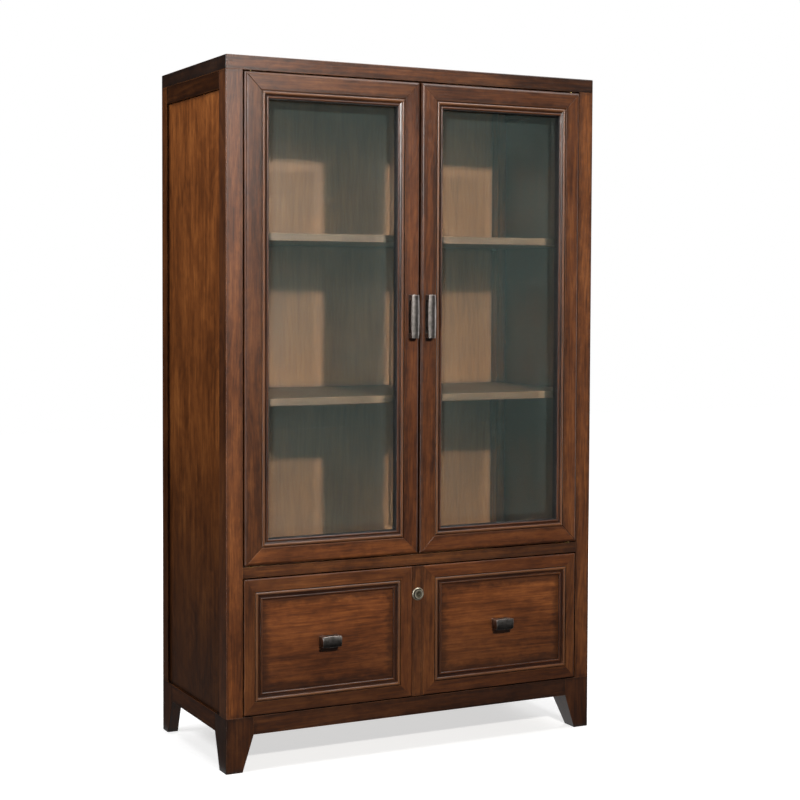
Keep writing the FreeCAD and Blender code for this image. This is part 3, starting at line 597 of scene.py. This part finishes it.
def finish_door(door):
    for part, along in DOOR_PARTS.items():
        title = "%s_%s" % (door, part)
        shade = DOOR_SHADES[door] * RAIL_SHADES.get((door, part), 1.0)
        dress(title, wood(title, along, shade=shade, rim=rim_of(title)))
    bead, pane = door + "_bead", door + "_glass"
    dress_frame(bead, [rect_of(bead)], EVEN_WIDTHS, **bead_look(bead))
    dress(door + "_seal", polymer(door + " seal", RUBBER, 0.6))
    dress(pane, glass(door + " glass", *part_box(pane)))
    # Wide bright edges: wear with a painted highlight.
    dress(door + "_pull", metal(door + " pull", PEWTER, 0.32, brushed="z", wear_and_highlight_width=0.003,
                                wear_and_highlight_gain=2.6))


def finish_drawer_front():
    openings = []
    for side in DRAWER_SIDES:
        title = "drawer_front_frame_" + side
        widths = (OUTER_STILE, INNER_STILE, DRAWER_RAIL)
        if side == "right":
            widths = (INNER_STILE, OUTER_STILE, DRAWER_RAIL)
        dress_frame(title, [rect_of(title)], widths, DRAWER_FRAME_SHADES)
        openings.append(inset(rect_of(title), *widths))
    beads = "drawer_front_beads"
    dress_frame(beads, openings, EVEN_WIDTHS, **bead_look(beads))
    panels = []
    for number, opening in enumerate(openings):
        x0, x1, z0, z1 = inset(opening, DRAWER_BEAD, DRAWER_BEAD, DRAWER_BEAD)
        # Painted shade: the panels grow darker towards the foot of their openings.
        top, foot = opening[3] - PANEL_FADE_TOP, opening[2] + PANEL_FADE_FOOT
        panels.append(wood("drawer panel %d" % number, "x", contrast=0.95, shade=1.55,
                           rim=((x0, 0, z0), (x1, 0, z1), *PANEL_RIM),
                           stain_and_shade_fade=("z", top, foot, 0.58)))
    dress("drawer_front_panels", *panels)
    for face in NODES["drawer_front_panels"].data.polygons:
        face.material_index = int(face.center.x > 0)


def finish_inside():
    dress("back_panel", wood("back panel", "z", INNER, **DULL))
    dress("divider_panel", wood("divider panel", "x", INNER, shade=SHELF_SHADE, **DULL))
    for title in SHELVES:
        board = wood(title, "x", INNER, shade=SHELF_SHADE, **DULL)
        nosing = wood(title + " nosing", "x", INNER, shade=0.66, warmth=0.10, **DULL)
        dress(title, board, nosing)
        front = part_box(title)[0].y
        for face in NODES[title].data.polygons:
            face.material_index = int(abs(face.center.y - front) < 0.5 * NEAR)
    for title, along in BOX_BOARDS.items():
        dress(title, wood(title, along, MAPLE, **DULL))


def finish_hardware():
    low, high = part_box("drawer_pulls")
    # The pulls take painted shade towards their foot, a painted highlight towards their top, and
    # wide bright edges of wear with a painted highlight.
    dress("drawer_pulls", metal("drawer pulls", PEWTER, 0.30, brushed="x", wear_and_highlight_width=0.003,
                                wear_and_highlight_gain=2.9, stain_and_shade_fade=(low.z + PULL_SHADE_START, high.z)))
    low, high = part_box("lock_plug")
    centre = 0.0, (low.z + high.z) / 2
    dress("lock_body", metal("lock body", AGED_BRASS, 0.44, aged=0.97, hollow=0.0030,
                             centre=centre, channels=LOCK_RING_CHANNELS))
    dress("lock_plug", metal("lock plug", DARK_BRASS, 0.40, aged=0.97, hollow=0.0030,
                             centre=centre, channels=PLUG_CHANNELS))
    for title in ("case_hinge_leaves", "left_door_hinge_leaves", "right_door_hinge_leaves"):
        dress(title, metal(title, HINGE_BRASS, 0.28, brushed="x"))
    for title in ("slide_outer_members", "slide_middle_members", "slide_inner_members"):
        dress(title, metal(title, SLIDE_STEEL, 0.34, brushed="y"))
    for title in ("file_rails", "lock_keeper", "shelf_pins", "left_door_pull_screws",
                  "right_door_pull_screws", "drawer_pull_screws"):
        dress(title, metal(title, PLAIN_STEEL, 0.30))
    dress("door_catches", polymer("door catches", BROWN_PLASTIC, 0.45))


finish_case()
for door in DOORS:
    finish_door(door)
finish_drawer_front()
finish_inside()
finish_hardware()
for title in EASED:
    ease(title, ARRIS)
for door in DOORS:
    for part in DOOR_PARTS:
        ease("%s_%s" % (door, part), DOOR_ARRIS)


# ---- floor, camera and light ----
PAPER_SEEN, PAPER_LIT = (0.64, 0.64, 0.64), (0.07, 0.07, 0.07)
FLOOR_HALF = 9.0
GLOW_START, GLOW_END = 1.0, 3.5     # distances between which the floor grows white
GLOW_WITHIN = 0.62                  # its glow nearer than that
# Painted reflection: a glow that reflections alone see on the floor under the case.
SHELTER_REFLECTION_GLOW = 0.7                  # what the feet mirror of the floor under the case
SHELTER_SIDE, SHELTER_FRONT = (0.50, 0.53), (-0.24, -0.20)
ROOM_SEEN, ROOM_LIT = 1.0, 0.022
WARM = (1.0, 0.97, 0.93)


def floor_finish():
    """Matt white paper to the camera, and a dimmer one to the light that bounces off it. Under
    the case it glows for reflections only, a painted reflection in the feet.
    """
    g = Graph(bpy.data.materials.new("floor"))
    x, y, _ = g.position()
    seen = g.in_sight()
    paper = g.node("BsdfDiffuse", {"Color": g.mix(seen, PAPER_LIT, PAPER_SEEN)}).outputs[0]
    away = g.spread(g.distance(x, y), GLOW_START, GLOW_END, GLOW_WITHIN, 1.0)
    direct = g.math("MULTIPLY", seen, away)
    sheltered = g.math("MULTIPLY", g.spread(g.math("ABSOLUTE", x), *SHELTER_SIDE, 1.0, 0.0),
                       g.spread(y, *SHELTER_FRONT))
    # Painted reflection: the floor under the case glows only to reflected rays.
    painted_reflection = g.math("MULTIPLY", g.node("LightPath").outputs["Is Glossy Ray"], sheltered)
    glow = g.node("Emission", {
        "Color": WHITE,
        "Strength": g.math("MULTIPLY_ADD", painted_reflection, SHELTER_REFLECTION_GLOW, direct)}).outputs[0]
    return g.surface(g.node("AddShader", {0: paper, 1: glow}).outputs[0])


def add_floor(half):
    """A square floor that reaches half each way."""
    corners = [(-half, -half, 0), (half, -half, 0), (half, half, 0), (-half, half, 0)]
    mesh = bpy.data.meshes.new("floor")
    mesh.from_pydata(corners, [], [(0, 1, 2, 3)])
    mesh.materials.append(floor_finish())
    floor = bpy.data.objects.new("floor", mesh)
    bpy.context.scene.collection.objects.link(floor)


def add_camera(place, yaw, pitch, roll, lens, shift):
    """A camera looking along +Y, turned by yaw to the right and pitch down, in degrees."""
    yaw, pitch, roll = (math.radians(v) for v in (yaw, pitch, roll))
    ahead = Vector((math.sin(yaw) * math.cos(pitch), math.cos(yaw) * math.cos(pitch),
                    -math.sin(pitch)))
    right = Vector((math.cos(yaw), -math.sin(yaw), 0))
    up = right.cross(ahead)
    side = right * math.cos(roll) + up * math.sin(roll)
    top = up * math.cos(roll) - right * math.sin(roll)
    turn = Matrix((side, top, -ahead)).transposed().to_4x4()
    data = bpy.data.cameras.new("camera")
    data.lens = lens
    data.sensor_width = 36.0
    data.shift_y = shift
    camera = bpy.data.objects.new("camera", data)
    camera.matrix_world = Matrix.Translation(place) @ turn
    bpy.context.scene.collection.objects.link(camera)
    bpy.context.scene.camera = camera


def add_softbox(name, place, target, size, watts, colour=(1, 1, 1), matt=True, gloss=True):
    """A rectangular lamp, size wide and high.

    Without matt it only shows in highlights, and without gloss never there."""
    data = bpy.data.lights.new(name, "AREA")
    data.shape = "RECTANGLE"
    data.size, data.size_y = size
    data.energy = watts
    data.color = colour
    lamp = bpy.data.objects.new(name, data)
    lamp.location = place
    aim = Vector(target) - Vector(place)
    lamp.rotation_euler = aim.to_track_quat("-Z", "Y").to_euler()
    lamp.visible_camera = False
    lamp.visible_diffuse = matt
    lamp.visible_glossy = gloss
    bpy.context.scene.collection.objects.link(lamp)


def add_world(seen, lit):
    """White to the camera, a dimmer soft room for everything else."""
    g = Graph(bpy.data.worlds.new("room"), "ShaderNodeOutputWorld")
    strength = g.node("MapRange", {
        "Value": g.in_sight(), "To Min": lit, "To Max": seen}).outputs["Result"]
    back = g.node("Background", {"Color": WHITE, "Strength": strength})
    bpy.context.scene.world = g.surface(back.outputs[0])


add_floor(FLOOR_HALF)
add_camera((-1.899, -3.848, 1.150), yaw=26.95, pitch=2.46, roll=0.236, lens=74.54, shift=-0.05)
add_world(ROOM_SEEN, ROOM_LIT)
add_softbox("key", (-0.255, -3.30, 2.20), (0.0, -0.2, 0.9), (0.14, 0.14), watts=92.0,
            colour=WARM)
add_softbox("left fill", (-2.05, -0.25, 2.05), (-0.5, 0.0, 1.1), (0.8, 0.8), watts=31.0)
add_softbox("overhead", (0.0, 0.6, 4.0), (0.0, 0.5, 0.0), (3.0, 3.0), watts=110.0)
add_softbox("rear fill", (2.6, 2.6, 2.3), (0.2, 0.0, 0.9), (1.8, 1.8), watts=75.0,
            gloss=False)
add_softbox("edge light", (1.3, -1.2, 3.6), (0.0, -0.2, 0.7), (1.6, 1.2), watts=34.0,
            matt=False)
add_softbox("right edge light", (2.8, -1.1, 0.9), (0.0, -0.2, 0.9), (0.8, 1.8), watts=13.0,
            matt=False)
add_softbox("left edge light", (-3.2, -1.5, 0.9), (0.0, -0.2, 0.9), (0.8, 1.8), watts=26.0,
            matt=False)
bpy.context.scene.view_settings.view_transform = "Standard"
